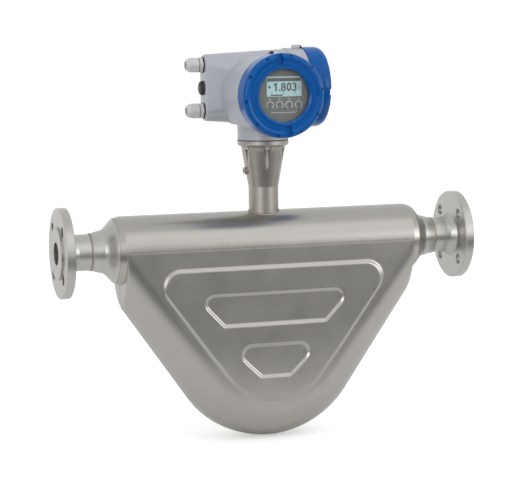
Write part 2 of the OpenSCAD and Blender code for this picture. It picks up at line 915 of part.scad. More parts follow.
// Pockets and spanner slots in a cover's crest, around the cover's axis.
module crest_cuts(crest, crest_radius, outer_radius, slot_start) {
  for (pocket = [0:pocket_count - 1]) {
    rotate([0, 0, pocket_turn + pocket * 360 / pocket_count])
      translate([crest_radius + pocket_setting, 0, crest - pocket_depth])
        cylinder(h = pocket_depth + 2, r = pocket_radius, $fn = 32);
  }
  for (turn = [90, 270]) {
    rotate([0, 0, turn + spanner_turn]) translate([slot_start, -spanner_width / 2, crest - spanner_depth])
      cube([outer_radius - slot_start + 3, spanner_width, spanner_depth + 3]);
  }
}

// Rounded corner from the outside of a cover to its crest, as points of the profile.
function crest_corner(outer_radius, shoulder_at, crest_radius, crest) = [
  for (turn = [0:10:90]) [
    crest_radius + (outer_radius - crest_radius) * cos(turn),
    shoulder_at + (crest - shoulder_at) * sin(turn)]];

module front_cover() {
  groove_low = front_cover_rim - seal_place - seal_groove_width / 2;
  groove_high = front_cover_rim - seal_place + seal_groove_width / 2;
  color(blue) placed() facing_front(front_axis) difference() {
    rotate_extrude() polygon(concat(
      [[skirt_inner, front_rim - skirt_length],
       [skirt_radius - 0.8, front_rim - skirt_length],
       [skirt_radius, front_rim - skirt_length + 0.8],
       [skirt_radius, groove_low],
       [seal_groove, groove_low],
       [seal_groove, groove_high],
       [skirt_radius, groove_high],
       [skirt_radius, front_cover_rim],
       [front_cover_radius - 0.8, front_cover_rim],
       [front_cover_radius, front_cover_rim + 0.8]],
      crest_corner(front_cover_radius, front_shoulder, front_crest_radius, front_crest),
      [[front_crest_radius - 3.4, front_crest - 0.6],
       [front_crest_radius - 5.4, front_crest - 2.6],
       [lip_radius + 3, front_crest - 2.6],
       [lip_radius + 1.6, front_crest - 1],
       [lip_radius, front_crest - 1],
       [window_radius, window_seat + 4],
       [window_radius, window_seat],
       [glass_radius + 0.1, window_seat],
       [glass_radius + 0.1, glass_back],
       [window_ring_outer + 0.1, glass_back],
       [window_ring_outer + 0.1, window_ring_back - 0.5],
       [skirt_inner, window_ring_back - 0.5]]));
    crest_cuts(front_crest, front_crest_radius, front_cover_radius, lip_radius + 3.5);
  }
}

module window_glass() {
  color("#dfe8e6") placed() facing_front(front_axis) disc(glass_radius, glass_back, window_seat);
}

module window_ring() {
  color(black) placed() facing_front(front_axis) difference() {
    ring(window_ring_outer, window_ring_inner, window_ring_back, glass_back);
    for (turn = [0, 180]) {
      rotate([0, 0, turn]) translate([48, 0, window_ring_back - 1]) cylinder(h = 3, r = 1.5, $fn = 32);
    }
  }
}

// Round seal in a cover's groove.
module cover_seal(rim) {
  translate([0, 0, rim - seal_place]) rotate_extrude() translate([seal_radius, 0])
    circle(r = seal_thickness, $fn = 32);
}

module front_cover_seal() color(rubber) placed() facing_front(front_axis) cover_seal(front_cover_rim);

module side_cover() {
  groove_low = side_cover_rim - seal_place - seal_groove_width / 2;
  groove_high = side_cover_rim - seal_place + seal_groove_width / 2;
  color(blue) placed() facing_right(side_axis) difference() {
    rotate_extrude() polygon(concat(
      [[skirt_inner, side_rim - skirt_length],
       [skirt_radius - 0.8, side_rim - skirt_length],
       [skirt_radius, side_rim - skirt_length + 0.8],
       [skirt_radius, groove_low],
       [seal_groove, groove_low],
       [seal_groove, groove_high],
       [skirt_radius, groove_high],
       [skirt_radius, side_cover_rim],
       [side_cover_radius - 0.8, side_cover_rim],
       [side_cover_radius, side_cover_rim + 0.8]],
      crest_corner(side_cover_radius, side_shoulder, side_crest_radius, side_crest),
      [[side_crest_radius - 6, side_crest],
       [side_crest_radius - 8, side_crest - 2.5],
       [0, side_crest - 2.5],
       [0, side_crest - 8],
       [skirt_inner - 4, side_crest - 8],
       [skirt_inner, side_crest - 12]]));
    crest_cuts(side_crest, side_crest_radius, side_cover_radius, side_crest_radius - 5);
  }
}

module side_cover_seal() color(rubber) placed() facing_right(side_axis) cover_seal(side_cover_rim);

// Socket-head locking screw of a cover, out of the rim.
module lock_screw(rim) {
  difference() {
    union() {
      disc(lock_radius, rim - lock_seat - lock_length, rim - lock_seat);
      disc(lock_head_radius, rim - lock_seat, rim - 0.3);
    }
    translate([0, 0, rim - 2.3]) cylinder(h = 4, r = 1.75, $fn = 6);
  }
}

module cover_lock_screws() {
  color(bright_steel) placed() {
    translate([lock_side, 0, 0]) facing_front(front_lug_height) lock_screw(front_rim);
    translate([0, lock_side, 0]) facing_right(side_lug_height) lock_screw(side_rim);
  }
}

module terminal_board() {
  color(board_green) placed() translate([-board_left, -partition, terminal_middle - board_half_height])
    cube([board_left + board_right, terminal_board_thickness, 2 * board_half_height]);
}

// Repeats what follows at the terminals, along +X.
module at_terminals() {
  for (place = [0:terminal_count - 1]) {
    translate([0, -partition + block_depth / 2 + 1, terminal_middle
      + (place - (terminal_count - 1) / 2) * terminal_pitch]) rotate([0, 90, 0]) children();
  }
}

module terminal_block() {
  color(light_plastic) placed() difference() {
    translate([block_left, -partition + terminal_board_thickness, terminal_middle - block_half_height])
      cube([block_right - block_left, block_depth, 2 * block_half_height]);
    at_terminals() {
      disc(2.6, block_right - 4, block_right + 1);
      disc(1.6, block_right - 12, block_right + 1);
    }
  }
}

module terminal_screws() {
  color(brass) placed() at_terminals() difference() {
    union() {
      disc(2.5, block_right - 4, block_right - 1.5);
      disc(1.5, block_right - 11, block_right - 4);
    }
    translate([-0.4, -3, block_right - 2.5]) cube([0.8, 6, 4]);
  }
}

// Hexagon with turned corners, from bottom to top.
module turned_hex(bottom, top, corner) {
  intersection() {
    rotate([0, 0, 30]) translate([0, 0, bottom]) cylinder(h = top - bottom, r = gland_hex, $fn = 6);
    disc(corner, bottom - 1, top + 1);
  }
}

module gland_body() {
  difference() {
    union() {
      disc(entry_radius - 0.1, -cable_wall_thickness, washer_height);
      turned_hex(washer_height, gland_collar, gland_hex - 0.6);
      disc(gland_thread, gland_collar - 1, gland_body_top);
    }
    disc(cable_radius + 0.3, -20, 40);
    disc(insert_radius + 0.1, insert_bottom, 40);
  }
}

module gland_washer() ring(gland_hex - 0.8, entry_radius, 0, washer_height);

module gland_insert() ring(insert_radius, cable_radius, insert_bottom, insert_top);

module gland_clamp() {
  rotate_extrude() polygon([
    [cable_radius + 0.2, clamp_bottom],
    [gland_thread - 0.6, clamp_bottom],
    [gland_thread - 0.6, clamp_bottom + 1.6],
    [gland_thread - 2, clamp_top],
    [cable_radius + 0.2, clamp_top]]);
}

module gland_nut() {
  difference() {
    union() {
      turned_hex(nut_bottom, nut_hex_top, gland_hex - nut_flat);
      rotate_extrude() polygon([
        [0, nut_bottom + 1],
        [gland_flats / 2 - 0.2, nut_bottom + 1],
        [gland_flats / 2 - 0.2, nut_hex_top],
        [gland_flats / 2 - 0.6, nut_hex_top + 3],
        [gland_flats / 2 - 1.4, nut_hex_top + 5.6],
        [nut_tip_radius + 1, nut_top - 2.2],
        [nut_tip_radius, nut_top - 1.1],
        [nut_tip_radius - 1, nut_top],
        [0, nut_top]]);
    }
    disc(cable_radius, nut_bottom - 1, nut_top + 1);
    disc(nut_bore, nut_bottom - 1, nut_shoulder);
    translate([0, 0, nut_shoulder])
      cylinder(h = nut_top - nut_lip - nut_shoulder, r1 = nut_bore, r2 = cable_radius);
  }
}

// Puts a gland on the cable wall at a height.
module on_cable_wall(height) facing_left(height) translate([0, 0, cable_wall]) children();

module upper_gland_body() color(light_plastic) placed() on_cable_wall(upper_gland) gland_body();

module upper_gland_washer() color(rubber) placed() on_cable_wall(upper_gland) gland_washer();

module upper_gland_insert() color(rubber) placed() on_cable_wall(upper_gland) gland_insert();

module upper_gland_clamp() color(light_plastic) placed() on_cable_wall(upper_gland) gland_clamp();

module upper_gland_nut() color(light_plastic) placed() on_cable_wall(upper_gland) gland_nut();

module lower_gland_body() color(light_plastic) placed() on_cable_wall(lower_gland) gland_body();

module lower_gland_washer() color(rubber) placed() on_cable_wall(lower_gland) gland_washer();

module lower_gland_insert() color(rubber) placed() on_cable_wall(lower_gland) gland_insert();

module lower_gland_clamp() color(light_plastic) placed() on_cable_wall(lower_gland) gland_clamp();

module lower_gland_nut() color(light_plastic) placed() on_cable_wall(lower_gland) gland_nut();

module blanking_plug() {
  color(black) placed() on_cable_wall(plug_height) {
    disc(entry_radius - 0.1, -cable_wall_thickness, 0.5);
    rotate_extrude() polygon([
      [0, 0],
      [plug_cap_radius, 0],
      [plug_cap_radius, 2.4],
      [plug_cap_radius - 1, plug_cap_height - 1.8],
      [plug_cap_radius - 3, plug_cap_height - 0.5],
      [plug_cap_radius - 6, plug_cap_height],
      [0, plug_cap_height]]);
  }
}

inlet_flange();
outlet_flange();
inlet_manifold();
outlet_manifold();
housing_tube();
front_case_shell();
rear_case_shell();
front_measuring_tube();
rear_measuring_tube();
inlet_brace();
outlet_brace();
drive_coil();
drive_magnet();
inlet_pickup_coil();
outlet_pickup_coil();
inlet_pickup_magnet();
outlet_pickup_magnet();
temperature_sensor();
stem();
stem_screws();
stem_plug();
stem_gasket();
wire_feedthrough();
converter_housing();
electronics_module();
display_board();
display_bezel();
lcd_panel();
optical_keys();
front_cover();
window_glass();
window_ring();
front_cover_seal();
side_cover();
side_cover_seal();
cover_lock_screws();
terminal_board();
terminal_block();
terminal_screws();
upper_gland_body();
upper_gland_washer();
upper_gland_insert();
upper_gland_clamp();
upper_gland_nut();
lower_gland_body();
lower_gland_washer();
lower_gland_insert();
lower_gland_clamp();
lower_gland_nut();
blanking_plug();
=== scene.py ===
import json
import math

import bpy
import numpy as np
from mathutils import Matrix, Vector


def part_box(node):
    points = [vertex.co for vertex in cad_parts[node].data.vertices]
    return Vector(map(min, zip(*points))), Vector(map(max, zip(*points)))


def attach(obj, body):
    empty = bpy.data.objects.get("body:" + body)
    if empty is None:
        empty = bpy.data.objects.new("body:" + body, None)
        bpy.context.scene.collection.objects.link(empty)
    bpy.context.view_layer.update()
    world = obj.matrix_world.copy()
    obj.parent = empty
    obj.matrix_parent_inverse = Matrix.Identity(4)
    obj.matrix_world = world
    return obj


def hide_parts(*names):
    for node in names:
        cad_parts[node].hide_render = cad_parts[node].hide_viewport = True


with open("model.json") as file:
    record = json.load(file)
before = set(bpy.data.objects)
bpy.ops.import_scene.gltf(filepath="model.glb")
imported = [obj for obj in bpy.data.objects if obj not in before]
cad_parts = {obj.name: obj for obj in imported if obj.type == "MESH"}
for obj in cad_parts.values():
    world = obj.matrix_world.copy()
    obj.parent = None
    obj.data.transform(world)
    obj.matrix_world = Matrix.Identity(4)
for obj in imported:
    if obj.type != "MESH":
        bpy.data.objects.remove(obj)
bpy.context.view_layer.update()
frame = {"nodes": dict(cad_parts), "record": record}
nodes = frame["nodes"]
MM = 0.001


def box_mm(node):
    """Lowest and highest corner of a solid, in millimetres."""
    return [np.array(corner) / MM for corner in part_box(node)]


# The case's pressing depth and wall, then places and sizes read from the solids' boxes, in millimetres.
PRESSED, CASE_WALL = 3.0, 3.0
case_low, case_high = box_mm("front_case_shell")
cover_low, cover_high = box_mm("front_cover")
side_low, side_high = box_mm("side_cover")
lcd_low, lcd_high = box_mm("lcd_panel")
keys_low, keys_high = box_mm("optical_keys")
gland_boxes = [box_mm("upper_gland_body"), box_mm("lower_gland_body")]
MIDDLE = float(case_low[0] + case_high[0]) / 2
CASE_HALF = float(case_high[0] - case_low[0]) / 2
CASE_BOTTOM = float(case_low[2])
CASE_DEPTH = -float(case_low[1]) - PRESSED
TUBE_RADIUS = float(box_mm("housing_tube")[1][1])
NECK_WELD = MIDDLE - float(box_mm("inlet_flange")[1][0])
FRONT_Z = float(cover_low[2] + cover_high[2]) / 2
SIDE_Z = float(side_low[2] + side_high[2]) / 2


# ---------------------------------------------------------------- materials

def linear(hexa):
    """An sRGB hex colour as the linear RGBA that shaders take: a channel c becomes ((c + 0.055) / 1.055) ^ 2.4,
    or c / 12.92 where it is very dark."""
    channels = np.array([int(hexa[i:i + 2], 16) / 255 for i in (1, 3, 5)])
    low_part, high_part = channels / 12.92, ((channels + 0.055) / 1.055) ** 2.4
    return (*np.where(channels <= 0.04045, low_part, high_part).tolist(), 1.0)


def add(tree, kind, inputs=None, **settings):
    """Adds one node: settings are its own, inputs are its sockets, each a value or another node's socket."""
    made = tree.nodes.new(kind)
    for name, value in settings.items():
        setattr(made, name, value)
    for key, value in (inputs or {}).items():
        if isinstance(value, bpy.types.NodeSocket):
            tree.links.new(value, made.inputs[key])
        else:
            made.inputs[key].default_value = value
    return made


def per_mm(size):
    """Pattern scale for features of this size in millimetres, on coordinates in metres."""
    return 1000.0 / size


def start(name, **constants):
    """A new material: its tree, its shader with constant sockets, and the piece's own coordinates."""
    made = bpy.data.materials.new(name)
    made.use_nodes = True
    tree = made.node_tree
    tree.nodes.clear()
    shader = add(tree, "ShaderNodeBsdfPrincipled", {key.replace("_", " "): v for key, v in constants.items()})
    add(tree, "ShaderNodeOutputMaterial", {"Surface": shader.outputs["BSDF"]})
    place = add(tree, "ShaderNodeTexCoord").outputs["Object"]
    return made, tree, shader, place


def grained(name, dark, light, rough, spread, grain, depth, cloud=45.0, stretch=(1, 1, 1), **constants):
    """A material whose colour drifts between two hex values in clouds, whose roughness drifts by spread,
    and whose surface has a grain of the given size and depth in millimetres, stretched along an axis."""
    made, tree, shader, place = start(name, **constants)
    drift = add(tree, "ShaderNodeTexNoise", {"Vector": place, "Scale": per_mm(cloud), "Detail": 3.0})
    tone = add(tree, "ShaderNodeMix", {0: drift.outputs["Fac"], 6: linear(dark), 7: linear(light)},
               data_type="RGBA")
    worn = add(tree, "ShaderNodeMapRange", {"Value": drift.outputs["Fac"], "From Min": 0.3, "From Max": 0.7,
                                            "To Min": rough - spread, "To Max": rough + spread})
    along = add(tree, "ShaderNodeMapping", {"Vector": place, "Scale": stretch})
    fine = add(tree, "ShaderNodeTexNoise", {"Vector": along.outputs["Vector"], "Scale": per_mm(grain),
                                            "Detail": 2.0})
    bump = add(tree, "ShaderNodeBump", {"Height": fine.outputs["Fac"], "Distance": depth * MM, "Strength": 1.0})
    for socket, value in (("Base Color", tone.outputs[2]), ("Roughness", worn.outputs["Result"]),
                          ("Normal", bump.outputs["Normal"])):
        tree.links.new(value, shader.inputs[socket])
    return made


# Stainless steel sheet, pressed and bead blasted: an even satin with no direction, slightly warm.
blasted_steel = grained("blasted_stainless_steel", "#b4b1ac", "#bcb9b4", 0.29, 0.02, 0.8, 0.008, Metallic=1.0)
# Stainless steel pipe, drawn and blasted: a little darker, with faint lines along its length.
pipe_steel = grained("drawn_stainless_pipe", "#aea9a2", "#b8b3ac", 0.35, 0.03, 0.9, 0.010,
                     stretch=(1, 1, 0.06), Metallic=1.0)
# Stainless steel tube inside the case, bright drawn.
tube_steel = grained("bright_drawn_tube", "#b9b8b5", "#c4c3c0", 0.24, 0.03, 0.8, 0.006, Metallic=1.0)
# Stainless fasteners, cold headed: a little darker than the tube.
screw_steel = grained("cold_headed_stainless", "#a9a8a5", "#b6b5b2", 0.28, 0.04, 0.6, 0.008, Metallic=1.0)
# Fused weld metal on stainless steel: duller than the sheet, with straw-coloured patches from the heat.
weld_metal = grained("heat_tinted_weld", "#9a9286", "#b3aca2", 0.36, 0.05, 0.6, 0.012, cloud=9.0, Metallic=1.0)
# Black-oxide steel, as small socket screws have it: near black with a low sheen.
black_oxide = grained("black_oxide_screw", "#1f2022", "#2b2c2f", 0.38, 0.04, 0.6, 0.010, IOR=1.6)
# Copper winding wire under varnish.
winding = grained("enamelled_copper_wire", "#8f4a22", "#a9602f", 0.30, 0.04, 0.4, 0.02,
                  stretch=(1, 0.2, 1), Metallic=1.0)
# Brass terminal screws.
brass = grained("turned_brass", "#b8934a", "#c9a55a", 0.28, 0.04, 0.6, 0.008, Metallic=1.0)
# Polyester powder coat on die-cast aluminium: fine orange peel, satin.
grey_coat = grained("grey_powder_coat", "#b3b7be", "#bcc0c6", 0.40, 0.03, 1.4, 0.020, Metallic=0.3, IOR=1.5)
# Gloss powder coat, blue: a smoother skin that shows lamps as soft streaks.
blue_coat = grained("blue_gloss_powder_coat", "#00539f", "#025ca9", 0.15, 0.02, 2.2, 0.010, IOR=1.32)
# Light grey polyamide, injection moulded with a fine spark-eroded skin.
polyamide = grained("light_grey_polyamide", "#c9cbc8", "#d2d4d1", 0.42, 0.03, 0.7, 0.012, IOR=1.53)
# Black glass-filled polyamide.
black_nylon = grained("black_glass_filled_nylon", "#1b1c1e", "#232427", 0.42, 0.04, 0.7, 0.015, IOR=1.53)
# Dark grey-brown polycarbonate film behind the window.
bezel_film = grained("textured_polycarbonate", "#4b4843", "#504d48", 0.60, 0.03, 0.5, 0.008, IOR=1.58)
# Circuit board with green solder mask.
board = grained("solder_masked_board", "#16492f", "#1d5a3a", 0.35, 0.03, 1.0, 0.008, IOR=1.5)
# Liquid-crystal panel: a pale blue-green polariser, lit from behind by its own lamp.
lcd = grained("backlit_lcd_polariser", "#a9cfd4", "#b4d8dc", 0.30, 0.02, 0.3, 0.002, IOR=1.5,
              Emission_Color=linear("#a4ccd2"), Emission_Strength=0.22)
# Dark liquid-crystal segments.
lcd_dark = grained("switched_lcd_segment", "#081316", "#0d191c", 0.50, 0.02, 0.3, 0.002, IOR=1.5)
# Pale screen-printing ink on the film.
pale_ink = grained("pale_screen_ink", "#dcdad5", "#e4e2dd", 0.5, 0.03, 0.4, 0.002, IOR=1.5)
# Black screen-printing ink, and the dark windows of the optical keys.
black_ink = grained("black_screen_ink", "#17181a", "#1e1f21", 0.25, 0.03, 0.4, 0.002, IOR=1.5)
# Nitrile rubber, moulded.
rubber = grained("nitrile_rubber", "#1c1d1f", "#242528", 0.60, 0.04, 0.9, 0.010, IOR=1.52)


def turned(name, dark, light, rough, pitch, depth, **constants):
    """Turned steel: tool marks one pitch apart in x + r, r the distance from the line, so that they ring
    the faces and circle the cylinders."""
    made = grained(name, dark, light, rough, 0.03, 0.9, 0.004, Metallic=1.0, **constants)
    tree = made.node_tree
    shader = next(n for n in tree.nodes if n.type == "BSDF_PRINCIPLED")
    place = next(n for n in tree.nodes if n.type == "TEX_COORD").outputs["Object"]
    parts = add(tree, "ShaderNodeSeparateXYZ", {"Vector": place})
    square = [add(tree, "ShaderNodeMath", {0: parts.outputs[i], 1: 2.0}, operation="POWER").outputs[0]
              for i in (1, 2)]
    total = add(tree, "ShaderNodeMath", {0: square[0], 1: square[1]}, operation="ADD").outputs[0]
    radius = add(tree, "ShaderNodeMath", {0: total}, operation="SQRT").outputs[0]
    along = add(tree, "ShaderNodeMath", {0: radius, 1: parts.outputs[0]}, operation="ADD").outputs[0]
    phase = add(tree, "ShaderNodeMath", {0: along, 1: 2 * math.pi * per_mm(pitch)},
                operation="MULTIPLY").outputs[0]
    mark = add(tree, "ShaderNodeMath", {0: phase}, operation="SINE").outputs[0]
    fine = next(n for n in tree.nodes if n.type == "BUMP")
    rings = add(tree, "ShaderNodeBump", {"Height": mark, "Distance": depth * MM, "Strength": 1.0,
                                         "Normal": fine.outputs["Normal"]})
    tree.links.new(rings.outputs["Normal"], shader.inputs["Normal"])
    return made


# Forged stainless steel, turned: fine tool marks, brighter than the blasted sheet. The real marks are
# 0.2 mm apart, drawn at 1.2 mm so that they show.
turned_steel = turned("turned_stainless_steel", "#bdbbb7", "#c7c5c1", 0.34, 1.2, 0.005)

# Toughened glass: clear, faintly green.
glass = start("toughened_soda_lime_glass", Roughness=0.03, IOR=1.52, Alpha=0.10,
              Base_Color=linear("#e6f0ec"))[0]

finishes = {
    "flange_steel": turned_steel, "case_steel": blasted_steel, "tube_steel": tube_steel,
    "stem_steel": pipe_steel, "screw_steel": screw_steel, "screw_brass": brass, "coil_copper": winding,
    "grey_paint": grey_coat, "blue_paint": blue_coat, "black_plastic": black_nylon,
    "light_plastic": polyamide, "bezel_grey": bezel_film, "board_green": board, "lcd_glass": lcd,
    "window_glass": glass, "seal_rubber": rubber}

for part in frame["record"]["subparts"]:
    data = nodes[part["node"]].data
    data.materials.clear()
    data.materials.append(finishes[part["material_slot"]])
nodes["cover_lock_screws"].data.materials[0] = black_oxide


# ---------------------------------------------------------------- surfaces

def skin(grid, rows_wrap, first):
    """Faces of a grid of points whose columns run round: quads between neighbours, and either the rows run
    round too or a fan closes each end onto its middle. Gives points, and quads and triangles that count
    from first."""
    rows, columns = grid.shape[:2]
    row = np.arange(rows if rows_wrap else rows - 1)[:, None]
    column = np.arange(columns)[None, :]
    below, beside = (row + 1) % rows, (column + 1) % columns
    quads = np.stack([row * columns + column, row * columns + beside,
                      below * columns + beside, below * columns + column], -1).reshape(-1, 4)
    points = grid.reshape(-1, 3)
    if rows_wrap:
        return points, quads + first, np.zeros((0, 3), int)
    count = rows * columns
    points = np.vstack([points, grid[0].mean(0), grid[-1].mean(0)])
    ring, after = np.arange(columns), (np.arange(columns) + 1) % columns
    last = (rows - 1) * columns
    fans = np.vstack([np.stack([np.full(columns, count), after, ring], 1),
                      np.stack([np.full(columns, count + 1), last + ring, last + after], 1)])
    return points, quads + first, fans + first


def piece(name, grids, finish, body="meter", rows_wrap=False, crease=None):
    """One mesh from grids of points in millimetres, facing outwards: its signed volume, the sum of a . (b x c)
    over its triangles, is made positive. crease is the angle past which an edge stays sharp."""
    points, quads, fans = [], [], []
    first = 0
    for grid in grids:
        found = skin(np.asarray(grid, float), rows_wrap, first)
        for store, part in zip((points, quads, fans), found):
            store.append(part)
        first += len(found[0])
    points, quads, fans = np.vstack(points) * MM, np.vstack(quads), np.vstack(fans)
    triangles = np.vstack([quads[:, [0, 1, 2]], quads[:, [0, 2, 3]], fans])
    a, b, c = (points[triangles[:, i]] for i in range(3))
    if (a * np.cross(b, c)).sum() < 0:
        quads, fans = quads[:, ::-1], fans[:, ::-1]
    mesh = bpy.data.meshes.new(name)
    mesh.from_pydata(points.tolist(), [], quads.tolist() + fans.tolist())
    mesh.polygons.foreach_set("use_smooth", np.ones(len(mesh.polygons), bool))
    if crease is not None:
        mesh.set_sharp_from_angle(angle=math.radians(crease))
    mesh.materials.append(finish)
    made = bpy.data.objects.new(name, mesh)
    bpy.context.scene.collection.objects.link(made)
    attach(made, body)
    return made


def ease(share):
    """Smooth step: 0 below 0, 1 above 1, 3s^2 - 2s^3 between."""
    share = np.clip(share, 0.0, 1.0)
    return share * share * (3 - 2 * share)


DIRECTIONS = 240


def depth_inside(x, z, circles):
    """Distance inside the outline that wraps a set of circles (x, z, radius): the least over all directions n
    of h(n) - n . p, where h(n) is the furthest that any circle reaches along n."""
    turn = np.linspace(0, 2 * math.pi, DIRECTIONS + 1)[:-1]
    n = np.stack([np.cos(turn), np.sin(turn)])
    reach = np.max([cx * n[0] + cz * n[1] + r for cx, cz, r in circles], axis=0)
    points = np.stack([x.ravel(), z.ravel()], 1)
    return (reach - points @ n).min(1).reshape(x.shape)


# ---------------------------------------------------------------- pressed case

# The flat's edge: a bottom arc and two slopes. The pad and the panels wrap circles (x, z, radius).
ARC_RADIUS = 112.0
ARC_DEPTH = CASE_BOTTOM + ARC_RADIUS + CASE_DEPTH
SLOPE = math.radians(55.2)
PAD = [(162.5, -60, 28), (-162.5, -60, 28), (0, -158.5, 100)]
UPPER_PANEL = [(105.7, -90, 14), (-105.7, -90, 14), (86.5, -122, 6), (-86.5, -122, 6)]
LOWER_PANEL = [(41.8, -179.5, 16), (-41.8, -179.5, 16), (22.6, -210, 7), (-22.6, -210, 7)]
STEP_WIDTH = 6.4
# Room between the case and the tube it is welded to, and how far the slopes run past the tube's middle.
TUBE_ROOM = 0.15
RUN_PAST = 3.0
# How far the edge moves in along the top for each millimetre that a slope runs past its corner, and how
# softly the sides end.
CORNER_LEAN = 0.6
END_SOFTNESS = 2.0
# Points along a slope, along its run past the corner, along the top and round the bottom arc.
SLOPE_POINTS, PAST_POINTS, TOP_POINTS, ARC_POINTS = 96, 19, 150, 80
# Rows over the face, round the edge outside and inside, and where the inner skin's rows lie on their rays.
FACE_ROWS, ROUND_ROWS, INNER_ROWS = 121, 21, 10
BACK_SHARES = [0.985, 0.97, 0.95, 0.93, 0.9, 0.86, 0.6, 0.2]


def pressed_height(x, z):
    """Height of the pressed pad over the case's flat: a smooth step up at the pad's outline, and down again
    into the two sunk panels."""
    up, upper, lower = (ease(depth_inside(x, z, outline) / STEP_WIDTH + 0.5)
                        for outline in (PAD, UPPER_PANEL, LOWER_PANEL))
    return PRESSED * (up - upper - lower)


def case_outline():
    """Edge of the case's flat, all the way round: up the right side, along the top, down the left side and
    round the bottom arc. Gives each column's edge point, the same side left to run on above the top, its
    outward direction and whether the edge is rounded over. Columns that run on leave the corner along the
    top, so that no two share a point."""
    out = np.array([math.sin(SLOPE), -math.cos(SLOPE)])
    run = np.array([math.cos(SLOPE), math.sin(SLOPE)])
    foot = np.array([0, ARC_DEPTH]) + ARC_RADIUS * out
    corner = -foot[1] / run[1]
    beyond = corner + (CASE_DEPTH * math.cos(SLOPE) + RUN_PAST) / run[1]
    t = np.concatenate([np.linspace(0, corner, SLOPE_POINTS), np.linspace(corner, beyond, PAST_POINTS + 1)[1:]])
    right_on = foot + t[:, None] * run
    right = foot + np.minimum(t, corner)[:, None] * run - np.maximum(t - corner, 0)[:, None] * [CORNER_LEAN, 0]
    top_x = np.linspace(right[-1, 0], -right[-1, 0], TOP_POINTS + 2)[1:-1]
    top = np.stack([top_x, np.zeros(TOP_POINTS)], 1)
    turn = np.linspace(-SLOPE, SLOPE, ARC_POINTS + 2)[1:-1]
    arc_out = np.stack([np.sin(turn), -np.cos(turn)], 1)
    arc = np.array([0, ARC_DEPTH]) + ARC_RADIUS * arc_out
    flip = np.array([-1, 1])
    edge = np.vstack([right, top, right[::-1] * flip, arc])
    onward = np.vstack([right_on, top, right_on[::-1] * flip, arc])
    outward = np.vstack([np.tile(out, (len(t), 1)), np.zeros((TOP_POINTS, 2)), np.tile(out * flip, (len(t), 1)),
                         arc_out])
    rounded = np.concatenate([np.ones(len(t)), np.zeros(TOP_POINTS), np.ones(len(t)), np.ones(ARC_POINTS)])
    return edge, onward, outward, rounded


def case_half():
    """Half of the case as one closed skin, y from 0 down: rays from the bottom arc's centre to the flat's edge
    carry the pressed height, the edge is rounded over on a circle of the case's half depth, and an inner skin
    one wall behind comes back. Sides are held within the case's length and outside the tube."""
    edge, onward, outward, rounded = case_outline()
    hold = TUBE_RADIUS + TUBE_ROOM
    inner_depth = CASE_DEPTH - CASE_WALL

    def placed(x, y, z):
        """Points held softly within the case's length, and outside the tube."""
        past = np.abs(x) - CASE_HALF
        x = np.where(x > 0, 1, -1) * 0.5 * (np.abs(x) + CASE_HALF - np.sqrt(past ** 2 + END_SOFTNESS ** 2))
        z = np.minimum(z, -np.sqrt(np.maximum(hold ** 2 - y ** 2, 0)))
        return np.stack([MIDDLE + x, y, z], -1)

    def rays(share):
        """x and z at shares of the way from the bottom arc's centre to the edge."""
        share = share[:, None]
        return share * edge[None, :, 0], ARC_DEPTH + share * (edge[None, :, 1] - ARC_DEPTH)

    def rounding(depth, turns):
        """Rows that turn the edge over, on a circle of the given depth, or down to the tube along the top."""
        reach = depth * np.sin(turns)[:, None] * rounded
        level = np.cos(turns)[:, None]
        drop = np.where(rounded > 0, depth * level, hold + (depth - hold) * level)
        return placed(onward[None, :, 0] + outward[None, :, 0] * reach, -drop,
                      onward[None, :, 1] + outward[None, :, 1] * reach)

    x, z = rays(np.linspace(0, 1, FACE_ROWS + 1)[1:])
    face = placed(x, -CASE_DEPTH - pressed_height(x, z), z)
    outer = rounding(CASE_DEPTH, np.linspace(0, math.pi / 2, ROUND_ROWS + 1)[1:])
    inner = rounding(inner_depth, np.linspace(math.pi / 2, 0, INNER_ROWS))
    x, z = rays(np.array(BACK_SHARES))
    back = placed(x, -np.maximum(inner_depth, np.sqrt(np.maximum(hold ** 2 - z ** 2, 0))), z)
    return np.vstack([face, outer, inner, back])


half = case_half()
for side, node in ((1, "front_case_shell"), (-1, "rear_case_shell")):
    shell = piece("pressed_" + node, [half * np.array([1, side, 1])], blasted_steel)
    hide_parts(node)


# ---------------------------------------------------------------- welds

# Points round a bead, how far its crescents bow as a share of its width, and how much its height swells.
BEAD_POINTS, BEAD_BOW, BEAD_SWELL = 12, 0.35, 0.16


def bead(path, out, across, width, height, pitch, closed):
    """Weld bead along a path: an ellipse of the given width that stands proud by the given height. The height
    swells and sinks as a sine, once a pitch, in crescents whose middle lies before their edges, and the ends
    taper as a square root if the bead isn't closed."""
    step = np.linalg.norm(np.diff(path, axis=0, append=path[:1] if closed else path[-1:]), axis=1)
    length = np.concatenate([[0], np.cumsum(step)[:-1]])[:, None]
    turn = np.linspace(0, 2 * math.pi, BEAD_POINTS + 1)[None, :-1]
    bow = BEAD_BOW * width * (1 - np.cos(turn) ** 2)
    total = step.sum()
    pitch = total / round(total / pitch) if closed else pitch
    swell = 1 + BEAD_SWELL * np.sin(2 * math.pi * (length + bow) / pitch)
    taper = 1.0 if closed else np.sqrt(np.clip(np.minimum(length, total - length) / width, 0.02, 1))
    side = (0.5 * width * np.cos(turn) * taper)[..., None] * across[:, None, :]
    rise = (height * np.sin(turn) * swell * taper)[..., None] * out[:, None, :]
    return path[:, None, :] + side + rise


def round_x(place, radius, count):
    """Circle of the given radius around the line, at a distance from the middle, with its outward and
    lengthwise directions."""
    turn = np.linspace(0, 2 * math.pi, count + 1)[:-1]
    out = np.stack([np.zeros(count), np.cos(turn), np.sin(turn)], 1)
    return np.array([MIDDLE + place, 0, 0]) + radius * out, out, np.tile([1.0, 0, 0], (count, 1))


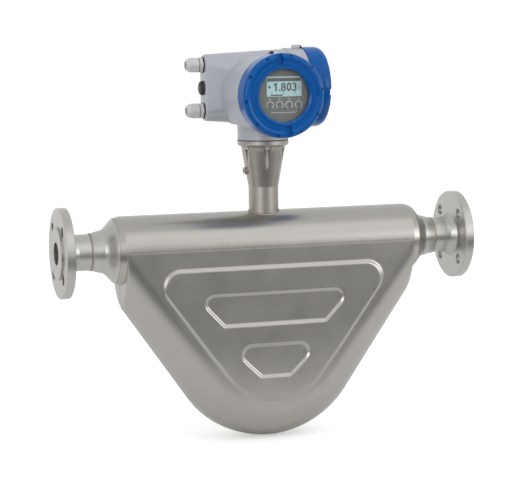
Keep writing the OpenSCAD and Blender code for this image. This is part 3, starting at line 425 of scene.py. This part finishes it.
# Where the flange necks meet the end pieces. The last numbers of a bead are its width, height and pitch.
NECK_RADIUS = 30.2
necks = [bead(*round_x(side * NECK_WELD, NECK_RADIUS, 480), 4.6, 1.2, 1.9, True) for side in (-1, 1)]
piece("neck_welds", necks, weld_metal, rows_wrap=True)

# Where the stem meets the tube. The bead's height leans halfway between out of the stem and out of the tube.
STEM_RADIUS = 25.1
turn = np.linspace(0, 2 * math.pi, 401)[:-1]
foot = np.stack([MIDDLE + STEM_RADIUS * np.cos(turn), STEM_RADIUS * np.sin(turn),
                 np.sqrt(TUBE_RADIUS ** 2 - (STEM_RADIUS * np.sin(turn)) ** 2)], 1)
stem_out = np.stack([np.cos(turn), np.sin(turn), np.zeros(len(turn))], 1)
tube_out = np.stack([np.zeros(len(turn)), foot[:, 1], foot[:, 2]], 1) / TUBE_RADIUS
lean = (stem_out + tube_out) / np.linalg.norm(stem_out + tube_out, axis=1)[:, None]
flat = (stem_out - tube_out) / np.linalg.norm(stem_out - tube_out, axis=1)[:, None]
piece("stem_foot_weld", [bead(foot, lean, flat, 4.4, 1.6, 1.9, True)], weld_metal, rows_wrap=True)

# Where the case halves meet the tube, along each side. The bead faces outwards and up.
SEAM_POINTS, SEAM_LIFT = 900, 0.4
SEAM_OUT, SEAM_UP = 0.8, 0.6
seam_x = np.linspace(-CASE_HALF + 1, CASE_HALF - 1, SEAM_POINTS)
seams = []
for side in (-1, 1):
    path = np.stack([MIDDLE + seam_x, np.full(SEAM_POINTS, side * (TUBE_RADIUS + SEAM_LIFT)),
                     np.full(SEAM_POINTS, SEAM_LIFT)], 1)
    lean = np.tile([0, side * SEAM_OUT, SEAM_UP], (SEAM_POINTS, 1))
    flat = np.tile([0, -side * SEAM_UP, SEAM_OUT], (SEAM_POINTS, 1))
    seams.append(bead(path, lean, flat, 2.2, 0.8, 2.1, False))
piece("tube_seams", seams, weld_metal)

# The seam between the halves: the outline one half depth out, from end to end below, at even steps.
# The points are put in order by their angle seen from a place well above the case.
RIM_POINTS, ABOVE = 1800, 400
edge, onward, outward, rounded = case_outline()
rim = onward + outward * CASE_DEPTH
keep = (rounded > 0) & (np.abs(rim[:, 0]) < CASE_HALF)
order = np.argsort(np.where(keep, np.arctan2(onward[:, 0], ABOVE - onward[:, 1]), np.inf))[:keep.sum()]
rim, rim_out = rim[order], outward[order]
mark = np.concatenate([[0], np.cumsum(np.linalg.norm(np.diff(rim, axis=0), axis=1))])
even = np.linspace(0, mark[-1], RIM_POINTS)
rim, rim_out = (np.stack([np.interp(even, mark, values[:, 0]), np.zeros(RIM_POINTS),
                          np.interp(even, mark, values[:, 1])], 1) for values in (rim, rim_out))
along_y = np.tile([0, 1.0, 0], (RIM_POINTS, 1))
piece("case_seam", [bead(rim + [MIDDLE, 0, 0], rim_out, along_y, 3.0, 0.5, 2.2, False)], weld_metal)


# ---------------------------------------------------------------- threads

# A ridge's foot: how far it is sunk, in mm, and half its width, in pitches. Its crest fades in an eighth turn.
FOOT_SUNK, FOOT_HALF = 0.15, 0.45
FADE_TURN = 0.25 * math.pi


def thread(turns, radius, depth, pitch, steps=90):
    """Ridge of a screw thread around local +Z: a low triangle carried along a helix, its crest fading out at
    both ends and its foot sunk a little into the cylinder."""
    turn = np.linspace(0, 2 * math.pi * turns, int(steps * turns))[:, None]
    fade = np.clip(np.minimum(turn, turn[-1] - turn) / FADE_TURN, 0.02, 1)
    foot = np.full_like(fade, -FOOT_SUNK)
    r = radius + np.hstack([foot, depth * fade, foot])
    z = turn * pitch / (2 * math.pi) + np.array([[-FOOT_HALF, 0, FOOT_HALF]]) * pitch * fade
    return np.stack([r * np.cos(turn), r * np.sin(turn), z], -1)


def to_front(points, height):
    """Local +Z to the front, at a height."""
    return np.stack([MIDDLE + points[..., 0], -points[..., 2], height + points[..., 1]], -1)


def to_right(points, height):
    """Local +Z to the right, at a height."""
    return np.stack([MIDDLE + points[..., 2], points[..., 1], height - points[..., 0]], -1)


def to_left(points, height):
    """Local +Z to the left, at a height."""
    return np.stack([MIDDLE - points[..., 2], points[..., 1], height + points[..., 0]], -1)


# Turns, radius, depth and pitch of the covers' threads and of the glands', and where each starts on its piece.
SKIRT_THREAD, SKIRT_START = (3.4, 58.5, 0.42, 2.0), 1.6
GLAND_THREAD, GLAND_START = (7.0, 9.0, 0.28, 1.5), 7.6
# How far a gland body stands out of the casting's wall.
GLAND_REACH = 18.6
up_local = np.array([0, 0, 1.0])
skirt_front, skirt_side = -float(cover_high[1]), float(side_low[0]) - MIDDLE
wall_reach = MIDDLE - float(gland_boxes[0][0][0]) - GLAND_REACH
front_ridge = thread(*SKIRT_THREAD) + up_local * (skirt_front + SKIRT_START)
side_ridge = thread(*SKIRT_THREAD) + up_local * (skirt_side + SKIRT_START)
gland_ridge = thread(*GLAND_THREAD, steps=48) + up_local * (wall_reach + GLAND_START)
piece("front_cover_thread", [to_front(front_ridge, FRONT_Z)], blue_coat, "front_cover")
piece("side_cover_thread", [to_right(side_ridge, SIDE_Z)], blue_coat, "side_cover")
gland_ridges = [to_left(gland_ridge, float(low[2] + high[2]) / 2) for low, high in gland_boxes]
piece("gland_threads", gland_ridges, polyamide)


# ---------------------------------------------------------------- display

LCD_FACE, FILM_FACE, KEY_FACE = float(lcd_low[1]), float(box_mm("display_bezel")[0][1]), float(keys_low[1])
# Width of the panel's edge that lies behind the bezel.
LCD_EDGE = 0.8
LCD_LEFT, LCD_TOP = float(lcd_low[0]) + LCD_EDGE, float(lcd_high[2]) - LCD_EDGE
LCD_WIDE = float(lcd_high[0] - lcd_low[0]) - 2 * LCD_EDGE
KEY_Z = float(keys_low[2] + keys_high[2]) / 2
KEY_RADIUS = float(keys_high[2] - keys_low[2]) / 2
KEY_X = np.linspace(float(keys_low[0]) + KEY_RADIUS, float(keys_high[0]) - KEY_RADIUS, 4)


def stroke(path, width, face, height=0.12):
    """Flat ribbon of the given width along a path of (x, z) points, standing proud of a face to the front."""
    path = np.asarray(path, float)
    along = np.gradient(path, axis=0)
    along /= np.linalg.norm(along, axis=1)[:, None]
    off = np.stack([-along[:, 1], along[:, 0]], 1) * width / 2
    sides = np.stack([path - off, path + off, path + off, path - off], 1)
    y = np.broadcast_to(np.array([face, face, face - height, face - height]), sides.shape[:2])
    return np.stack([sides[..., 0], y, sides[..., 1]], -1)


def arc(x, z, wide, high, start_at, end_at, count=40):
    """Points of an ellipse's arc between two angles in degrees, 0 to the right and 90 up."""
    turn = np.radians(np.linspace(start_at, end_at, count))
    return np.stack([x + wide * np.cos(turn), z + high * np.sin(turn)], 1)


def line(start_at, end_at):
    """Points along a straight run."""
    return np.linspace(start_at, end_at, 6)


def on_lcd(path):
    """From (right, down) on the panel to (x, z)."""
    path = np.asarray(path, float)
    return np.stack([LCD_LEFT + path[:, 0], LCD_TOP - path[:, 1]], 1)


def disc(x, z, radius, face, height=0.15, count=32):
    """Flat round spot, standing proud of a face towards the front."""
    rim = arc(x, z, radius, radius, 0, 360, count + 1)[:-1]
    return np.stack([np.stack([rim[:, 0], np.full(count, y), rim[:, 1]], 1) for y in (face, face - height)])


# The reading, squeezed a little and set down from the panel's top: a plus sign, then its digits and point.
DIGIT_SQUEEZE, DIGIT_DROP = 0.98, 1.1
digits = [
    (line((2.3, 14.8), (6.9, 14.8)), 2.2), (line((4.6, 12.4), (4.6, 17.2)), 2.2),
    (line((12.2, 11.4), (15.9, 9.2)), 2.4), (line((15.9, 8.3), (15.9, 22.0)), 3.1),
    (line((20.6, 20.4), (23.4, 20.4)), 2.8),
    (arc(28.5, 12.1, 2.6, 2.7, 0, 360), 2.7), (arc(28.5, 17.7, 3.0, 3.1, 0, 360), 2.8),
    (arc(38.0, 15.0, 2.8, 5.8, 0, 360), 2.9),
    (arc(47.0, 12.0, 2.7, 2.8, -165, 95), 2.7), (arc(46.9, 17.7, 3.1, 3.1, -95, 165), 2.7)]
marks = [(path * np.array([1, DIGIT_SQUEEZE]) + (0, DIGIT_DROP), width) for path, width in digits]
# The header, the bar graph with its end and zero, then short ticks in place of lettering.
HEADER_DOWN, GRAPH_DOWN = 3.9, 29.0
marks.append(([(x, HEADER_DOWN) for x in (0.6, 20, 40, LCD_WIDE - 0.6)], 5.4))
marks.append(([(x, GRAPH_DOWN) for x in (6.6, 13, 20, 27.4)], 2.3))
marks.append(([(27.6, 27.0), (28.0, 25.8), (28.6, 23.6)], 1.2))
marks.append((arc(8.2, 25.0, 0.8, 1.2, 0, 360, 16), 0.5))
marks += [([(x, 24.2), (x, 25.0), (x, 25.8)], 0.6) for x in (46.6, 48.4, 49.4)]
marks += [([(x, 27.2), (x, 27.9), (x, 28.6)], 0.4) for x in np.arange(32, 51, 3.0)]
marks += [([(54.5, z), (55.4, z), (56.3, z)], 1.3) for z in (13.0, 15.2, 17.4, 19.6)]
piece("lcd_segments", [stroke(on_lcd(path), width, LCD_FACE) for path, width in marks], lcd_dark, crease=40)

# Pale print: a line over the panel, a ring round each key, an icon over it and a bracket under the row.
line_z, icon_z, bracket_z = LCD_TOP + 0.9, KEY_Z + KEY_RADIUS + 3.2, KEY_Z - 12.6
RING_RADIUS = KEY_RADIUS - 0.6
film = [([(LCD_LEFT + x, line_z) for x in (-0.6, 20, LCD_WIDE - 0.6)], 1.2, FILM_FACE)]
film += [(arc(x, KEY_Z, RING_RADIUS, RING_RADIUS, -58, 238, 60), 1.1, KEY_FACE) for x in KEY_X]
icons = [(0, [(0, -1.2), (0, 0), (0, 1.2)], 1.1), (1, [(-1.2, -1), (-1.2, 0), (-1.2, 1)], 1.1),
         (2, [(-1.4, 0), (0, 0), (1.4, 0)], 1.1), (3, [(-1.3, 0), (0, 0), (1.3, 0)], 1.1),
         (1, [(0.2, 0.7), (1, 0.7), (2, 0.7)], 0.7), (3, [(0, -1.2), (0, 0), (0, 1.2)], 1.1)]
film += [(np.array(icon) + (KEY_X[key], icon_z), width, FILM_FACE) for key, icon, width in icons]
film.append(([(LCD_LEFT + x, bracket_z) for x in (8, 28, 50)], 0.8, FILM_FACE))
film += [([(LCD_LEFT + x, bracket_z + up) for up in (-0.4, 1, 2.6)], 0.7, FILM_FACE) for x in (8, 50)]
piece("film_print", [stroke(*entry) for entry in film], pale_ink, crease=40)

piece("key_wells", [disc(x, KEY_Z, 4.4, KEY_FACE, 0.05) for x in KEY_X], bezel_film, crease=40)
# Dark spots: a window in each key, one under each key, and a larger one below the middle.
spots = [disc(x, KEY_Z, 2.2, KEY_FACE, 0.16) for x in KEY_X]
spots += [disc(x + 0.5, KEY_Z - KEY_RADIUS - 0.5, 2.1, FILM_FACE) for x in KEY_X]
spots.append(disc(LCD_LEFT + 31.2, KEY_Z - 7.6, 3.3, FILM_FACE))
piece("key_windows", spots, black_ink, crease=40)


# ---------------------------------------------------------------- stage

# In metres: half the floor's width, its back edge, and its height just under the case.
FLOOR_HALF, FLOOR_BACK, FLOOR_Z = 30.0, 3.6, -0.3295
floor_corners = [(-FLOOR_HALF, -FLOOR_HALF), (FLOOR_HALF, -FLOOR_HALF),
                 (FLOOR_HALF, FLOOR_BACK), (-FLOOR_HALF, FLOOR_BACK)]
floor_mesh = bpy.data.meshes.new("studio_floor")
floor_mesh.from_pydata([(x, y, FLOOR_Z) for x, y in floor_corners], [], [(0, 1, 2, 3)])
floor = bpy.data.objects.new("studio_floor", floor_mesh)
bpy.context.scene.collection.objects.link(floor)


def ramp(tree, value, stops):
    """A colour ramp on a value between 0 and 1, from (place, hex) stops. The first two stops are its ends."""
    made = add(tree, "ShaderNodeValToRGB", {"Fac": value})
    for index, (place, tone) in enumerate(stops):
        stop = made.color_ramp.elements[index] if index < 2 else made.color_ramp.elements.new(place)
        stop.position, stop.color = place, linear(tone)
    return made.outputs["Color"]


def floor_material():
    """Pale studio floor. The camera sees it lit from below and white all over; the meter's reflections see a
    sheet that is white under and behind it and greyer in front. The grey in front is painted shade, standing in
    for the dim studio before the meter, both in its reflections and in the light that the floor bounces onto
    it."""
    made, tree, shader, place = start("studio_floor", Roughness=0.9, IOR=1.3, Emission_Color=linear("#ffffff"))
    parts = add(tree, "ShaderNodeSeparateXYZ", {"Vector": place})
    reach = add(tree, "ShaderNodeMapRange", {"Value": parts.outputs["Y"], "From Min": -3.0, "From Max": 0.0,
                                             "To Min": 0.0, "To Max": 1.0})
    # Painted shade: the sheet greys from about 0.4 m in front of the meter and is darkest between about 0.7 m
    # and 1.1 m out.
    sheet = ramp(tree, reach.outputs["Result"], [(0.0, "#8c8c8c"), (1.0, "#f4f4f4"), (0.50, "#808080"),
                                                 (0.62, "#585858"), (0.76, "#585858"), (0.86, "#f4f4f4")])
    seen = add(tree, "ShaderNodeLightPath").outputs["Is Camera Ray"]
    tone = add(tree, "ShaderNodeMix", {0: seen, 6: sheet, 7: linear("#f4f4f4")}, data_type="RGBA")
    glow = add(tree, "ShaderNodeMath", {0: seen, 1: 0.36, 2: 0.04}, operation="MULTIPLY_ADD")
    tree.links.new(tone.outputs[2], shader.inputs["Base Color"])
    tree.links.new(glow.outputs[0], shader.inputs["Emission Strength"])
    return made


floor_mesh.materials.append(floor_material())

# Studio walls, as the reflections see them: darker behind the camera with a bright ring about it, grey at the
# sides, paler behind the meter. The camera itself sees one white backdrop. The tones are a quarter of the
# light that they stand for.
WALL_STRENGTH = 4.0
world = bpy.data.worlds.new("studio")
bpy.context.scene.world = world
world.use_nodes = True
sky = world.node_tree
sky.nodes.clear()
ray = add(sky, "ShaderNodeTexCoord").outputs["Generated"]
parts = add(sky, "ShaderNodeSeparateXYZ", {"Vector": ray})
depth = add(sky, "ShaderNodeMapRange", {"Value": parts.outputs["Y"], "From Min": -1.0, "From Max": 1.0,
                                        "To Min": 0.0, "To Max": 1.0})
around = ramp(sky, depth.outputs["Result"], [(0.0, "#717171"), (1.0, "#8a8a8a"), (0.03, "#717171"),
                                             (0.12, "#ffffff"), (0.3, "#a8a8a8"), (0.5, "#6a6a6a"),
                                             (0.78, "#656565"), (0.92, "#8a8a8a")])
rise = add(sky, "ShaderNodeMapRange", {"Value": parts.outputs["Z"], "From Min": 0.05, "From Max": 0.6,
                                       "To Min": 0.0, "To Max": 1.0}, interpolation_type="SMOOTHSTEP")
tone = add(sky, "ShaderNodeMix", {0: rise.outputs["Result"], 6: around, 7: linear("#7a7a7a")},
           data_type="RGBA")
seen = add(sky, "ShaderNodeLightPath").outputs["Is Camera Ray"]
shown = add(sky, "ShaderNodeMix", {0: seen, 6: tone.outputs[2], 7: linear("#8b8b8b")}, data_type="RGBA")
paint = add(sky, "ShaderNodeBackground", {"Color": shown.outputs[2], "Strength": WALL_STRENGTH})
add(sky, "ShaderNodeOutputWorld", {"Surface": paint.outputs["Background"]})

# One rectangular lamp, high on the right in front of the meter and turned to its middle.
lamp_at, lamp_aim = Vector((1.0, -1.7, 2.0)), Vector((0.36, 0.0, 0.0))
lamp = bpy.data.lights.new("top_front_softbox", "AREA")
lamp.shape, lamp.size, lamp.size_y, lamp.energy = "RECTANGLE", 2.6, 1.4, 4.5
holder = bpy.data.objects.new("top_front_softbox", lamp)
bpy.context.scene.collection.objects.link(holder)
holder.location = lamp_at
holder.rotation_mode = "QUATERNION"
holder.rotation_quaternion = (lamp_aim - lamp_at).to_track_quat("-Z", "Y")


# ---------------------------------------------------------------- camera

# Distance and target in metres, focal length and film width in millimetres.
CAMERA_AWAY, CAMERA_TARGET = 3.153, Vector((0.34635, 0.0, 0.00281))
FOCAL_LENGTH, FILM_WIDTH = 130.159, 36.0
azimuth, elevation, roll = (math.radians(angle) for angle in (-17.588, 6.946, -0.724))
level = math.cos(elevation)
back = Vector((math.sin(azimuth) * level, -math.cos(azimuth) * level, math.sin(elevation)))
right = Vector((math.cos(azimuth), math.sin(azimuth), 0))
up = back.cross(right)
right, up = right * math.cos(roll) + up * math.sin(roll), up * math.cos(roll) - right * math.sin(roll)
turn = Matrix((right, up, back)).transposed().to_4x4()
camera_data = bpy.data.cameras.new("camera")
camera_data.lens, camera_data.sensor_width = FOCAL_LENGTH, FILM_WIDTH
camera_data.clip_start, camera_data.clip_end = 0.05, 200.0
camera = bpy.data.objects.new("camera", camera_data)
bpy.context.scene.collection.objects.link(camera)
camera.matrix_world = Matrix.Translation(CAMERA_TARGET + back * CAMERA_AWAY) @ turn
bpy.context.scene.camera = camera

bpy.context.scene.view_settings.view_transform = "Standard"
